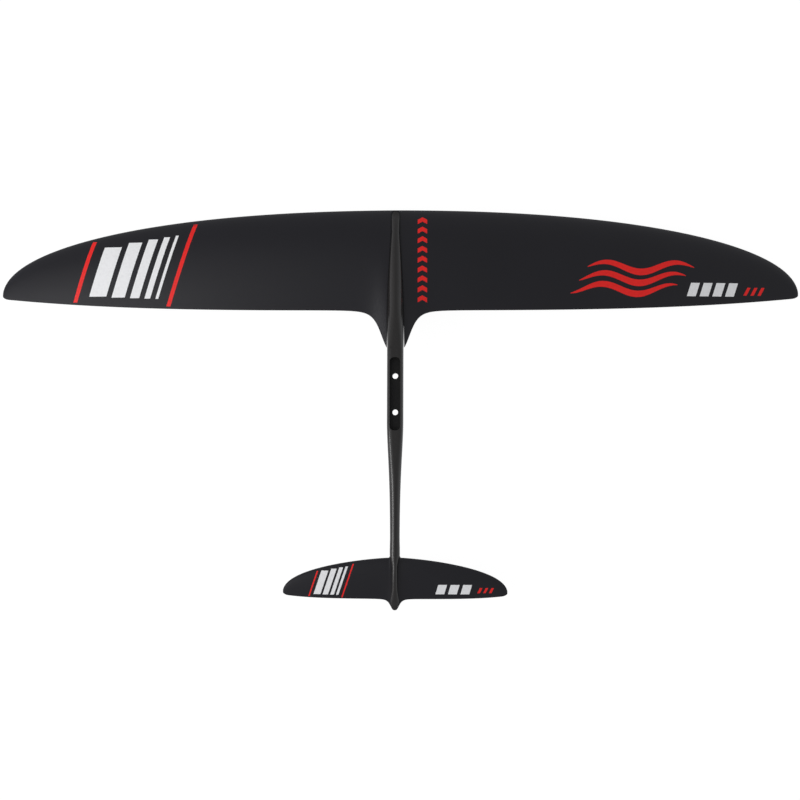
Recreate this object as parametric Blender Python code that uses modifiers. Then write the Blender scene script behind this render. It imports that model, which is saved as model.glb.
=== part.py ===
"""Hydrofoil: front wing, fuselage and stabiliser, bolted together.

Metres, +Z up towards the board.  The origin is the centre of the mast socket's floor.
+Y points to the nose and +X to starboard.
"""
import math

import bmesh
import bpy

# ---- driving dimensions ----
GAP = 0.0003                    # clearance between neighbouring pieces

WING_SPAN = 1.350
WING_NOSE_Y = 0.307             # leading edge on the centreline
WING_TAIL_Y = 0.1399            # trailing edge beside the fuselage fairing
WING_TIP_Y = 0.1656             # where the leading edge curve closes
WING_SWEEP = 0.0241             # how far the trailing edge runs forward at the tip
WING_THICKNESS = 0.019
WING_DROOP = 0.042
WING_SLANT = 0.35               # share of the droop that is a straight slant
WING_Z = -0.010                 # chord plane at the root
ROOT_ROUNDING = 0.012           # how gently the slant starts at the centreline

STAB_SPAN = 0.370
STAB_NOSE_Y = -0.2688
STAB_TAIL_Y = -0.3367
STAB_TIP_Y = -0.3287
STAB_SWEEP = 0.0057
STAB_THICKNESS = 0.0075
STAB_Z = -0.006

BODY_HALF_WIDTH = 0.0133        # fuselage at the mast
BOOM_HALF_WIDTH = 0.0077        # fuselage along the boom
BOOM_FLARE = 0.0005             # how much wider the boom gets towards the stabiliser
BOOM_FLARE_Y = (-0.232, -0.262)
BODY_TOP = 0.014                # the mast socket's depth, as its floor is z = 0
BODY_BOTTOM = -0.020
BOOM_TOP = 0.005
BOOM_BOTTOM = -0.011
SPLIT_Z = -0.003                # the plane where the two fuselage shells meet
SIDE_LAND = 0.0015              # upright band on each shell beside that plane
TAPER_START_Y = -0.0473
TAPER_LENGTH = 0.090
TAPER_POWER = 1.7
NOSE_STEP_Y = 0.077             # where the body ends and its nose tongue starts
TAIL_STEP_Y = -0.2650           # where the boom ends and its tail tongue starts
NOSE_TIP_Y = 0.3040
TAIL_TIP_Y = -0.3535
NECK_HALF_WIDTH = 0.0061        # the nose tongue narrows to this ...
NECK_Y = 0.268                  # ... here
NECK_END_Y = 0.120              # and is as wide as the body from here back
NOSE_END_RUN = 0.011            # length of the nose tongue's rounded end
TAIL_END_RUN = 0.0165           # length of the tail tongue's rounded end
TAIL_HALF_WIDTH = 0.0050
TAIL_SHOULDER = 0.0030          # what the tail tongue loses over its first part
TAIL_SHOULDER_RUN = 0.020
TAIL_BULB = 0.0018              # what it gains again round the bulb
TAIL_BULB_Y = -0.340
TAIL_BULB_RUN = 0.014
NOSE_END_Z = -0.007             # height of the nose tongue's crest at its tip
TAIL_END_Z = -0.0055            # and of the tail tongue's
SHELL_WALL = 0.0025
TAIL_WALL = 0.0010
SIDE_RISE = 0.0008              # the tongues' sides stand this much above the wings

SIDE_GAP_START_Y = 0.122        # the slit beside the nose tongue opens here
SIDE_GAP_WIDTH = 0.0011         # and is this wide at the body

SOCKET_LENGTH = 0.120
SOCKET_WIDTH = 0.017
SOCKET_CORNER = 0.005
MAST_BOLT_Y = (0.030, -0.030)
MAST_HOLE_RADIUS = 0.0051
BUSH_RADIUS = 0.0070
BUSH_FLANGE_RADIUS = 0.0090
BUSH_TOP_Z = -0.0033
BUSH_FLANGE_Z = (-0.0155, -0.0125)

WING_SCREW_Y = (0.100, 0.150, 0.200)
WING_SCREW = {"shank": 0.0040, "head": 0.0066, "ferrule": 0.0075, "insert": 0.0062,
              "head_depth": 0.0032, "key": 0.0029}
STAB_SCREW_Y = (-0.281, -0.304)
STAB_SCREW = {"shank": 0.0018, "head": 0.0034, "ferrule": 0.0041, "insert": 0.0028,
              "head_depth": 0.0016, "key": 0.0015}
SCREW_SIDES = 16

CARBON = (0.030, 0.029, 0.034, 1.0)
BODY_CARBON = (0.045, 0.040, 0.040, 1.0)
FOAM = (0.62, 0.56, 0.42, 1.0)
LAMINATE = (0.05, 0.05, 0.055, 1.0)
STEEL = (0.62, 0.62, 0.64, 1.0)
BRASS = (0.72, 0.55, 0.28, 1.0)
ALUMINIUM = (0.55, 0.56, 0.58, 1.0)
BLACK_ALUMINIUM = (0.030, 0.030, 0.032, 1.0)

COLLECTION = "hydrofoil"
CUTTERS = "hydrofoil_cutters"


# ---- scene helpers ----
def clear_scene():
    for obj in list(bpy.data.objects):
        bpy.data.objects.remove(obj, do_unlink=True)


def new_collection(name):
    collection = bpy.data.collections.new(name)
    bpy.context.scene.collection.children.link(collection)
    return collection


def new_material(name, colour, roughness, metallic):
    material = bpy.data.materials.new(name)
    material.use_nodes = True
    shader = material.node_tree.nodes["Principled BSDF"]
    shader.inputs["Base Color"].default_value = colour
    shader.inputs["Roughness"].default_value = roughness
    shader.inputs["Metallic"].default_value = metallic
    material.diffuse_color = colour
    return material


def add_object(name, mesh, look):
    colour, roughness, metallic = look
    mesh.materials.append(new_material(name, colour, roughness, metallic))
    obj = bpy.data.objects.new(name, mesh)
    bpy.data.collections[COLLECTION].objects.link(obj)
    return obj


def add_cutter(name, mesh):
    obj = bpy.data.objects.new(name, mesh)
    obj.hide_render = True
    obj.display_type = "WIRE"
    bpy.data.collections[CUTTERS].objects.link(obj)
    return obj


def cut(obj, cutter):
    modifier = obj.modifiers.new("cut_" + cutter.name, "BOOLEAN")
    modifier.operation = "DIFFERENCE"
    modifier.solver = "EXACT"
    modifier.object = cutter


CARBON_LOOK = (CARBON, 0.42, 0.0)
BODY_LOOK = (BODY_CARBON, 0.35, 0.0)
FOAM_LOOK = (FOAM, 0.85, 0.0)
LAMINATE_LOOK = (LAMINATE, 0.55, 0.0)
STEEL_LOOK = (STEEL, 0.28, 1.0)
BRASS_LOOK = (BRASS, 0.35, 1.0)
ALUMINIUM_LOOK = (ALUMINIUM, 0.40, 1.0)
BLACK_ALUMINIUM_LOOK = (BLACK_ALUMINIUM, 0.45, 1.0)


# ---- mesh builders ----
def slab_mesh(name, plan, top, bottom):
    """A closed solid between two height functions, over a grid of (x, y) plan points."""
    bm = bmesh.new()
    upper = [[bm.verts.new((x, y, top(x, y))) for x, y in row] for row in plan]
    lower = [[bm.verts.new((x, y, bottom(x, y))) for x, y in row] for row in plan]
    rows = len(plan)
    columns = len(plan[0])
    for i in range(rows - 1):
        for j in range(columns - 1):
            quad = ((i, j), (i, j + 1), (i + 1, j + 1), (i + 1, j))
            bm.faces.new([upper[a][b] for a, b in quad])
            bm.faces.new([lower[a][b] for a, b in reversed(quad)])
    rim = [(0, j) for j in range(columns)]
    rim += [(i, columns - 1) for i in range(1, rows)]
    rim += [(rows - 1, j) for j in range(columns - 2, -1, -1)]
    rim += [(i, 0) for i in range(rows - 2, 0, -1)]
    for (a, b), (c, d) in zip(rim, rim[1:] + rim[:1]):
        bm.faces.new((upper[c][d], upper[a][b], lower[a][b], lower[c][d]))
    bmesh.ops.triangulate(bm, faces=bm.faces[:])
    bmesh.ops.recalc_face_normals(bm, faces=bm.faces[:])
    mesh = bpy.data.meshes.new(name)
    bm.to_mesh(mesh)
    bm.free()
    mesh.shade_smooth()
    mesh.set_sharp_from_angle(angle=math.radians(35))
    return mesh


def turned_object(name, profile, location, look):
    """A piece turned about Z from (radius, z) points that run down its outer side first.

    A profile that touches the axis is solid; any other one is closed into a ring.
    """
    mesh = bpy.data.meshes.new(name)
    edges = [(i, i + 1) for i in range(len(profile) - 1)]
    if profile[0][0] > 0:
        edges.append((len(profile) - 1, 0))
    mesh.from_pydata([(radius, 0.0, z) for radius, z in profile], edges, [])
    obj = add_object(name, mesh, look)
    obj.location = location
    screw = obj.modifiers.new("turn", "SCREW")
    screw.axis = "Z"
    screw.steps = SCREW_SIDES
    screw.render_steps = SCREW_SIDES
    screw.use_merge_vertices = True
    screw.merge_threshold = 0.00001
    screw.use_smooth_shade = True
    return obj


def prism_cutter(name, ring, z_range):
    """An upright cutter over a ring of (x, y) points."""
    bm = bmesh.new()
    low = [bm.verts.new((x, y, z_range[0])) for x, y in ring]
    high = [bm.verts.new((x, y, z_range[1])) for x, y in ring]
    bm.faces.new(high)
    bm.faces.new(low[::-1])
    for a in range(len(ring)):
        b = (a + 1) % len(ring)
        bm.faces.new((low[a], low[b], high[b], high[a]))
    mesh = bpy.data.meshes.new(name)
    bm.to_mesh(mesh)
    bm.free()
    return add_cutter(name, mesh)


def circle(radius, y, sides=SCREW_SIDES):
    """Plan points round a circle centred on the fuselage's own line."""
    angles = [2 * math.pi * (step + 0.5) / sides for step in range(sides)]
    return [(radius * math.cos(angle), y + radius * math.sin(angle)) for angle in angles]


def rounded_rectangle(width, length, corner, steps_per_corner):
    """Plan points round a rectangle whose long sides run along Y."""
    across = width / 2 - corner
    along = length / 2 - corner
    ring = []
    for side_x, side_y, first in ((1, 1, 0), (-1, 1, 90), (-1, -1, 180), (1, -1, 270)):
        for step in range(steps_per_corner + 1):
            angle = math.radians(first + 90 * step / steps_per_corner)
            ring.append((side_x * across + corner * math.cos(angle),
                         side_y * along + corner * math.sin(angle)))
    return ring


def dome(fraction, power):
    """Height of a superellipse, 1 on the centreline and 0 at its edge."""
    inside = max(0.0, 1.0 - abs(fraction) ** power)
    return inside ** (1.0 / power)


def clamp(value, low=0.0, high=1.0):
    return min(max(value, low), high)


def smooth(value):
    share = clamp(value)
    return share * share * (3 - 2 * share)


# ---- wing sections ----
def thickness_curve(s):
    """Half thickness of a four-digit section along the chord, with a peak of 1."""
    return 10 * (0.2969 * math.sqrt(s) - 0.1260 * s - 0.3516 * s ** 2
                 + 0.2843 * s ** 3 - 0.1036 * s ** 4)


def camber_curve(s, peak=0.4):
    """Height of the mean line along the chord, with a peak of 1."""
    if s < peak:
        return (2 * peak * s - s * s) / peak ** 2
    return (1 - 2 * peak + 2 * peak * s - s * s) / (1 - peak) ** 2


class Foil:
    """A lifting wing as height functions of x and y, with its centre fairing and keel."""

    edge = 0.0012               # thickness of the blunt leading and trailing edges
    closing = 0.0004            # the outline curves close this far past the tip
    collar_run = 0.002          # over which the leading edge steps back beside the tongue
    thinning = 0.9              # how the thickness follows the chord
    keel_power = 2.6
    least_keel = 0.001          # half width of the keel where its tongue has ended

    def __init__(self, **values):
        self.__dict__.update(values)

    def share(self, x):
        return clamp(abs(x) / (self.half_span + self.closing))

    def leading(self, x):
        rise = (1 - self.share(x) ** self.nose_powers[0]) ** (1 / self.nose_powers[1])
        ramp = clamp((self.collar_width - abs(x)) / self.collar_run) ** 2
        return self.tip_y + (self.nose_y - self.tip_y) * rise + self.collar * ramp

    def plain_trailing(self, x):
        start = self.half_span + self.closing - self.corner[0]
        turn = clamp((abs(x) - start) / self.corner[0])
        corner = self.corner[1] * (1 - math.sqrt(1 - turn * turn))
        return self.tail_y + self.sweep * self.share(x) ** self.tail_power + corner

    def trailing(self, x):
        spread = (abs(x) / self.fairing_width) ** self.fairing_power
        fairing = self.fairing_length / (1 + spread)
        return max(self.plain_trailing(x) - fairing, self.fairing_end)

    def chord_share(self, x):
        chord = self.leading(x) - self.plain_trailing(x)
        return chord / (self.nose_y - self.tail_y)

    def base(self, x):
        """The chord plane: a slight slant down from the root, then a bend to the tip."""
        out = math.hypot(x, ROOT_ROUNDING) - ROOT_ROUNDING
        slant = out / (self.half_span - ROOT_ROUNDING)
        bend = self.share(x) ** self.droop_power
        return self.z - self.droop * (self.slant * slant + (1 - self.slant) * bend)

    def along(self, x, y):
        return clamp((self.leading(x) - y) / (self.leading(x) - self.trailing(x)))

    def half(self, x, y):
        thickness = self.thickness * self.chord_share(x) ** self.thinning
        return self.edge / 2 + thickness / 2 * thickness_curve(self.along(x, y))

    def middle(self, x, y):
        camber = self.camber * self.chord_share(x) * camber_curve(self.along(x, y))
        return self.base(x) + camber

    def upper(self, x, y):
        return self.middle(x, y) + self.half(x, y)

    def lower(self, x, y):
        plate = max(self.base(x) - self.middle(x, y) + self.half(x, y), 0.0)
        width = max(self.keel_width(y), self.least_keel)
        keel = self.keel_depth(y) * dome(x / width, self.keel_power)
        return self.base(x) - (plate ** 4 + keel ** 4) ** 0.25

    def skin(self, x):
        return self.skin_tip + (self.skin_root - self.skin_tip) * self.chord_share(x)

    def upper_inside(self, x, y):
        return max(self.upper(x, y) - self.skin(x), self.middle(x, y) + GAP / 2)

    def lower_inside(self, x, y):
        return min(self.lower(x, y) + self.skin(x), self.middle(x, y) - GAP / 2)

    def core_top(self, x, y):
        return self.upper(x, y) - self.skin(x) - GAP

    def core_bottom(self, x, y):
        return self.lower(x, y) + self.skin(x) + GAP

    def plan(self, columns, shares):
        """Plan points: one row for each x, running along the chord."""
        rows = []
        for x in columns:
            nose = self.leading(x)
            chord = nose - self.trailing(x)
            rows.append([(x, nose - share * chord) for share in shares])
        return rows

    def columns_between(self, first, last):
        return [x for x in self.columns if first <= x <= last]


# ---- fuselage shape ----
def taper(y):
    """1 at the mast, falling smoothly to 0 along the boom."""
    return math.exp(-(max(TAPER_START_Y - y, 0.0) / TAPER_LENGTH) ** TAPER_POWER)


def rounded_end(share):
    """Width share over a tongue's rounded end; share runs from 0 to nearly 1 at the tip."""
    return math.sqrt(1 - clamp(share) ** 2.2)


def body_half_width(y):
    if y > NECK_END_Y:
        widening = math.sin(math.pi / 2 * clamp((NECK_Y - y) / (NECK_Y - NECK_END_Y)))
        width = NECK_HALF_WIDTH + (BODY_HALF_WIDTH - NECK_HALF_WIDTH) * widening
        return width * rounded_end((y - NOSE_TIP_Y) / NOSE_END_RUN + 0.95)
    if y > TAIL_STEP_Y:
        first, last = BOOM_FLARE_Y
        flare = BOOM_FLARE * smooth((first - y) / (first - last))
        return BOOM_HALF_WIDTH + (BODY_HALF_WIDTH - BOOM_HALF_WIDTH) * taper(y) + flare
    turn = math.pi * clamp((TAIL_STEP_Y - y) / TAIL_SHOULDER_RUN)
    shoulder = TAIL_SHOULDER * (0.5 + 0.5 * math.cos(turn))
    bulb = TAIL_BULB * math.exp(-((y - TAIL_BULB_Y) / TAIL_BULB_RUN) ** 2)
    end = rounded_end((TAIL_TIP_Y - y) / TAIL_END_RUN + 0.98)
    return (TAIL_HALF_WIDTH + shoulder + bulb) * end


def body_power(y):
    """Section power: squarest at the mast, round along the boom and the nose."""
    if y > NOSE_STEP_Y:
        return 2.1 + 2.9 * clamp((0.160 - y) / 0.090) ** 2
    return 2.0 + 3.0 * taper(y) ** 2


def body_crest(y):
    if y > NOSE_STEP_Y:
        share = clamp((y - NOSE_STEP_Y) / (NOSE_TIP_Y - NOSE_STEP_Y))
        return NOSE_END_Z + (BODY_TOP - NOSE_END_Z) * math.sqrt(1 - share ** 3)
    if y > TAIL_STEP_Y:
        return BOOM_TOP + (BODY_TOP - BOOM_TOP) * taper(y)
    share = clamp((TAIL_STEP_Y - y) / (TAIL_STEP_Y - TAIL_TIP_Y))
    return TAIL_END_Z + (BOOM_TOP - TAIL_END_Z) * math.sqrt(1 - share ** 3)


def body_belly(y):
    return BOOM_BOTTOM + (BODY_BOTTOM - BOOM_BOTTOM) * taper(y)


NOSE_KEEL_RUN = 0.225           # length of the front wing's keel
TAIL_KEEL_RUN = 0.0905          # length of the stabiliser's keel
KEEL_CURVE = 2.5


def nose_keel_depth(y):
    share = clamp((y - NOSE_STEP_Y) / NOSE_KEEL_RUN)
    return (WING_Z - BODY_BOTTOM) * math.sqrt(1 - share ** KEEL_CURVE)


def tail_keel_depth(y):
    share = clamp((TAIL_STEP_Y - y) / TAIL_KEEL_RUN)
    return (STAB_Z - BOOM_BOTTOM) * math.sqrt(1 - share ** KEEL_CURVE)


WING = Foil(half_span=WING_SPAN / 2, nose_y=WING_NOSE_Y, tail_y=WING_TAIL_Y,
            tip_y=WING_TIP_Y, sweep=WING_SWEEP, nose_powers=(2.19, 2.20), tail_power=3.1,
            corner=(0.0112, 0.0057), thickness=WING_THICKNESS, camber=0.0036, z=WING_Z,
            droop=WING_DROOP, slant=WING_SLANT, droop_power=2.6, collar=0.0,
            collar_width=0.0, fairing_width=0.0262, fairing_length=0.0692,
            fairing_power=3.8, fairing_end=NOSE_STEP_Y + GAP, skin_root=0.0020,
            skin_tip=0.0008, keel_depth=nose_keel_depth, keel_width=body_half_width,
            shares=(0.0, 0.008, 0.04, 0.11, 0.23, 0.36, 0.52, 0.68, 0.80, 0.90, 1.0),
            columns=(0.0, 0.006, 0.0105, 0.0145, 0.018, 0.0215, 0.025, 0.0285, 0.032,
                     0.037, 0.043, 0.050, 0.060, 0.080, 0.120, 0.200, 0.290, 0.380,
                     0.460, 0.530, 0.585, 0.625, 0.651, 0.666, 0.673, 0.675))
STAB = Foil(half_span=STAB_SPAN / 2, nose_y=STAB_NOSE_Y, tail_y=STAB_TAIL_Y,
            tip_y=STAB_TIP_Y, sweep=STAB_SWEEP, nose_powers=(1.49, 2.31), tail_power=4.3,
            corner=(0.0096, 0.0050), thickness=STAB_THICKNESS, camber=0.0, z=STAB_Z,
            droop=0.004, slant=0.0, droop_power=2.0,
            collar=TAIL_STEP_Y - STAB_NOSE_Y - GAP, collar_width=0.0100,
            fairing_width=0.00813, fairing_length=0.0185, fairing_power=3.13,
            fairing_end=-1.0, skin_root=0.0011, skin_tip=0.0007,
            keel_depth=tail_keel_depth, keel_width=lambda y: BOOM_HALF_WIDTH,
            shares=(0.0, 0.015, 0.07, 0.20, 0.40, 0.64, 0.85, 1.0),
            columns=(0.0, 0.0025, 0.005, 0.0065, 0.008, 0.0092, 0.0105, 0.012, 0.014,
                     0.017, 0.020, 0.028, 0.045, 0.085, 0.120, 0.148, 0.168, 0.179,
                     0.1835, 0.185))


def both_sides(columns):
    return [-x for x in reversed(columns) if x > 0] + list(columns)


# ---- wings ----
def add_skins(name, foil):
    plan = foil.plan(both_sides(foil.columns), foil.shares)
    upper = slab_mesh(name + "_upper_skin", plan, foil.upper, foil.upper_inside)
    lower = slab_mesh(name + "_lower_skin", plan, foil.lower_inside, foil.lower)
    return [add_object(name + "_upper_skin", upper, CARBON_LOOK),
            add_object(name + "_lower_skin", lower, CARBON_LOOK)]


def add_core(name, foil, columns, shares, look, spare=0.0):
    """Filling between the skins; spare trims the edges that face other fillings."""
    plan = foil.plan(columns, shares)
    trimmed = []
    for row in plan:
        x = row[0][0]
        points = [(x, y) for _, y in row]
        points[0] = (x, points[0][1] - spare)
        points[-1] = (x, points[-1][1] + spare)
        trimmed.append(points)
    mesh = slab_mesh(name, trimmed, foil.core_top, foil.core_bottom)
    return add_object(name, mesh, look)


def add_wing_fillings():
    def between(first, last):
        return [s for s in WING.shares if first <= s <= last]

    for side, sign in (("right", 1), ("left", -1)):
        columns = sorted(sign * x for x in WING.columns_between(0.043, 0.530))
        reach = sorted(sign * x for x in WING.columns_between(0.043, 0.460))
        name = "front_wing_%s_" + side
        add_core(name % "nose_core", WING, columns, between(0.04, 0.23), FOAM_LOOK, GAP / 2)
        add_core(name % "spar", WING, reach, between(0.23, 0.36), LAMINATE_LOOK, GAP / 2)
        add_core(name % "tail_core", WING, columns, between(0.36, 0.68), FOAM_LOOK, GAP / 2)
    middle = both_sides(WING.columns_between(0.0, 0.032))
    return add_core("front_wing_root_block", WING, middle, between(0.04, 0.80), LAMINATE_LOOK)


def add_stab_fillings():
    shares = [s for s in STAB.shares if 0.07 <= s <= 0.64]
    for side, sign in (("right", 1), ("left", -1)):
        columns = sorted(sign * x for x in STAB.columns_between(0.020, 0.120))
        add_core("stabilizer_core_" + side, STAB, columns, shares, FOAM_LOOK)
    middle = both_sides(STAB.columns_between(0.0, 0.014))
    return add_core("stabilizer_root_block", STAB, middle, shares, LAMINATE_LOOK)


# ---- fuselage ----
WIDTH_SHARES = [math.sin(math.radians(angle)) for angle in range(-90, 91, 10)]


def tongue_foil(y):
    if y > NOSE_STEP_Y:
        return WING
    if y < TAIL_STEP_Y:
        return STAB
    return None


def side_height(y):
    """Where the rounded top meets the fuselage's upright sides."""
    foil = tongue_foil(y)
    land = SPLIT_Z + SIDE_LAND
    if foil is None:
        return land
    return max(land, foil.upper(body_half_width(y), y) + GAP + SIDE_RISE)


def shell_top(x, y, inset=0.0):
    side = side_height(y)
    crest = max(body_crest(y) - inset, side + 0.0004)
    width = body_half_width(y) - inset
    return side + (crest - side) * dome(x / width, body_power(y))


def shell_bottom(x, y, inset=0.0):
    side = SPLIT_Z - SIDE_LAND
    width = body_half_width(y) - inset
    depth = side - body_belly(y) - inset
    return side - depth * dome(x / width, body_power(y))


def under_upper_shell(x, y):
    foil = tongue_foil(y)
    if foil is None:
        return SPLIT_Z + GAP / 2
    return foil.upper(x, y) + GAP


def body_plan(stations, inset=0.0):
    rows = []
    for y in stations:
        width = body_half_width(y) - inset
        rows.append([(share * width, y) for share in WIDTH_SHARES])
    return rows


def steps(start, end, count):
    return [start + (end - start) * i / count for i in range(count + 1)]


def foil_stations(foil, first, last):
    """Every second station sits on one of the wing skin's own chord stations."""
    shares = list(foil.shares)
    shares += [(a + b) / 2 for a, b in zip(shares, shares[1:])]
    nose = foil.leading(0)
    ys = [nose - share * (nose - foil.trailing(0)) for share in shares]
    return [y for y in ys if last < y < first]


def nose_stations():
    """Closer together towards the rounded nose tip."""
    first = NOSE_TIP_Y
    last = NOSE_STEP_Y + GAP
    rounding = [first - 0.0006 * i * i for i in range(1, 4)]
    inner = foil_stations(WING, first - 0.0006, last + 0.001)
    return sorted([first, last] + rounding + inner, reverse=True)


def tail_stations():
    first = TAIL_STEP_Y - GAP
    last = TAIL_TIP_Y
    rounding = [last + 0.0006 * i * i for i in range(1, 4)]
    inner = foil_stations(STAB, first - 0.0001, last + 0.0006)
    return sorted([first, last] + rounding + inner, reverse=True)


def pocket_cutter(name, y_range, inset, above):
    """A hollow under the upper shell, or above the lower one, that leaves a wall of inset."""
    plan = body_plan(steps(*y_range), inset)
    if above:
        mesh = slab_mesh(name, plan, lambda x, y: shell_top(x, y, inset), lambda x, y: -0.05)
    else:
        mesh = slab_mesh(name, plan, lambda x, y: 0.05, lambda x, y: shell_bottom(x, y, inset))
    return add_cutter(name, mesh)


def cut_side_gaps(skins):
    """Open a slit beside the nose tongue through the wing's fairing, wider at the body."""
    for side, sign in (("right", 1), ("left", -1)):
        rows = []
        for y in steps(SIDE_GAP_START_Y, NOSE_STEP_Y - 0.002, 6):
            inner = body_half_width(y)
            reach = (SIDE_GAP_START_Y - y) / (SIDE_GAP_START_Y - NOSE_STEP_Y)
            outer = inner + 0.0001 + SIDE_GAP_WIDTH * reach
            rows.append([(sign * inner, y), (sign * outer, y)])
        mesh = slab_mesh("side_gap_" + side, rows, lambda x, y: 0.03, lambda x, y: -0.06)
        cutter = add_cutter("side_gap_" + side, mesh)
        for skin in skins:
            cut(skin, cutter)


def grown(y_range, amount):
    return (y_range[0] + amount, y_range[1] - amount, y_range[2])


NOSE_BLOCK = (0.215, 0.088, 6)      # first and last station, and the steps between them
MAST_BLOCK = (0.073, -0.076, 6)
BOOM_CORE = (-0.080, -0.254, 9)
TAIL_BLOCK = (-0.272, -0.313, 5)


def add_shells():
    body = [NOSE_STEP_Y] + steps(TAPER_START_Y, TAIL_STEP_Y, 14)
    upper_mesh = slab_mesh("fuselage_upper_shell",
                           body_plan(nose_stations() + body + tail_stations()),
                           shell_top, under_upper_shell)
    upper = add_object("fuselage_upper_shell", upper_mesh, BODY_LOOK)
    low = [NOSE_STEP_Y - GAP] + steps(TAPER_START_Y, TAIL_STEP_Y + GAP, 14)
    lower_mesh = slab_mesh("fuselage_lower_shell", body_plan(low),
                           lambda x, y: SPLIT_Z - GAP / 2, shell_bottom)
    lower = add_object("fuselage_lower_shell", lower_mesh, BODY_LOOK)
    for name, y_range, wall in (("nose", NOSE_BLOCK, SHELL_WALL),
                                ("mast", MAST_BLOCK, SHELL_WALL),
                                ("boom", BOOM_CORE, SHELL_WALL),
                                ("tail", TAIL_BLOCK, TAIL_WALL)):
        space = grown(y_range, GAP)
        cut(upper, pocket_cutter("upper_pocket_" + name, space, wall, True))
        if name in ("mast", "boom"):
            cut(lower, pocket_cutter("lower_pocket_" + name, space, wall, False))
    return upper, lower


def add_blocks():
    """The pieces that fill the fuselage: thread blocks, the mast block and the boom core."""
    blocks = {}
    for name, y_range, wall, look in (
            ("nose_thread_block", NOSE_BLOCK, SHELL_WALL, ALUMINIUM_LOOK),
            ("mast_block", MAST_BLOCK, SHELL_WALL, BLACK_ALUMINIUM_LOOK),
            ("boom_core", BOOM_CORE, SHELL_WALL, LAMINATE_LOOK),
            ("tail_thread_block", TAIL_BLOCK, TAIL_WALL, ALUMINIUM_LOOK)):
        inset = wall + GAP
        in_body = name in ("mast_block", "boom_core")
        bottom = under_upper_shell
        if in_body:
            def bottom(x, y, inset=inset):
                return shell_bottom(x, y, inset)
        mesh = slab_mesh(name, body_plan(steps(*y_range), inset),
                         lambda x, y, inset=inset: shell_top(x, y, inset), bottom)
        blocks[name] = add_object(name, mesh, look)
    return blocks


def add_mast_socket(upper, lower, block):
    outline = rounded_rectangle(SOCKET_WIDTH, SOCKET_LENGTH, SOCKET_CORNER, 6)
    slot = prism_cutter("mast_slot", outline, (0.0, 0.05))
    cut(upper, slot)
    cut(block, slot)
    for name, y in zip(("front", "rear"), MAST_BOLT_Y):
        hole = prism_cutter("mast_hole_" + name, circle(MAST_HOLE_RADIUS, y), (-0.05, 0.001))
        bore = prism_cutter("bush_hole_" + name, circle(BUSH_RADIUS + GAP, y),
                            (-0.05, BUSH_TOP_Z + GAP))
        seat = prism_cutter("flange_hole_" + name, circle(BUSH_FLANGE_RADIUS + GAP, y),
                            (-0.05, BUSH_FLANGE_Z[1] + GAP))
        for cutter in (hole, bore, seat):
            cut(block, cutter)
        cut(lower, seat)
        low, high = BUSH_FLANGE_Z
        profile = ((BUSH_RADIUS, BUSH_TOP_Z), (BUSH_RADIUS, high), (BUSH_FLANGE_RADIUS, high),
                   (BUSH_FLANGE_RADIUS, low), (MAST_HOLE_RADIUS, low),
                   (MAST_HOLE_RADIUS, BUSH_TOP_Z))
        turned_object("mast_bush_" + name, profile, (0, y, 0), STEEL_LOOK)


# ---- screws that hold the wings on ----
def add_screw(label, foil, y, size, skins, root, thread_block, wall):
    """One countersunk screw from below, its ferrule in the wing and its thread insert."""
    reach = size["ferrule"] + GAP
    belly = max(foil.lower(0, y - reach), foil.lower(0, y + reach))
    roof = min(foil.upper(0, y - reach), foil.upper(0, y + reach))
    bore = size["shank"] + GAP
    depth = size["head_depth"]
    low = belly + 0.0006
    high = roof - GAP
    ferrule = ((size["ferrule"], high), (size["ferrule"], low),
               (size["head"] + 1.5 * GAP, low), (bore, low + depth), (bore, high))
    turned_object(label + "_ferrule", ferrule, (0, y, 0), STEEL_LOOK)
    hole = prism_cutter(label + "_ferrule_hole", circle(size["ferrule"] + GAP, y), (-0.06, 0.06))
    for piece in skins + [root]:
        cut(piece, hole)

    floor = max(foil.upper(0, y - reach), foil.upper(0, y + reach)) + 2 * GAP
    ceiling = min(shell_top(size["insert"], y + edge, wall + GAP) for edge in (-reach, reach))
    ceiling -= GAP
    insert = ((size["insert"], ceiling), (size["insert"], floor), (bore, floor),
              (bore, ceiling))
    turned_object(label + "_insert", insert, (0, y, 0), BRASS_LOOK)
    socket = prism_cutter(label + "_insert_hole", circle(size["insert"] + GAP, y), (-0.06, 0.06))
    cut(thread_block, socket)

    bottom = low + GAP
    top = ceiling - GAP
    head = size["head"]
    shank = size["shank"]
    profile = [(0.0, top), (shank * 0.85, top), (shank, top - shank * 0.15),
               (shank, bottom + depth), (head, bottom), (0.0, bottom)]
    screw = turned_object(label + "_screw", profile, (0, y, 0), STEEL_LOOK)
    key = prism_cutter(label + "_key", circle(size["key"], y, 6), (-0.06, bottom + depth * 0.8))
    cut(screw, key)


def main():
    clear_scene()
    new_collection(COLLECTION)
    new_collection(CUTTERS)
    wing_skins = add_skins("front_wing", WING)
    cut_side_gaps(wing_skins)
    wing_root = add_wing_fillings()
    stab_skins = add_skins("stabilizer", STAB)
    stab_root = add_stab_fillings()
    upper, lower = add_shells()
    blocks = add_blocks()
    add_mast_socket(upper, lower, blocks["mast_block"])
    for number, y in enumerate(WING_SCREW_Y, 1):
        add_screw("front_wing_%d" % number, WING, y, WING_SCREW, wing_skins, wing_root,
                  blocks["nose_thread_block"], SHELL_WALL)
    for number, y in enumerate(STAB_SCREW_Y, 1):
        add_screw("stabilizer_%d" % number, STAB, y, STAB_SCREW, stab_skins, stab_root,
                  blocks["tail_thread_block"], TAIL_WALL)


main()
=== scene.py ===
"""Looks for the hydrofoil: smooth skins, fuselage, fittings, prints, light and camera.

Metres, +Z up, +Y to the nose, +X to starboard, origin on the mast socket's floor.
"""
import math

import bmesh
import bpy
from mathutils import Matrix, Vector


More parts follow.
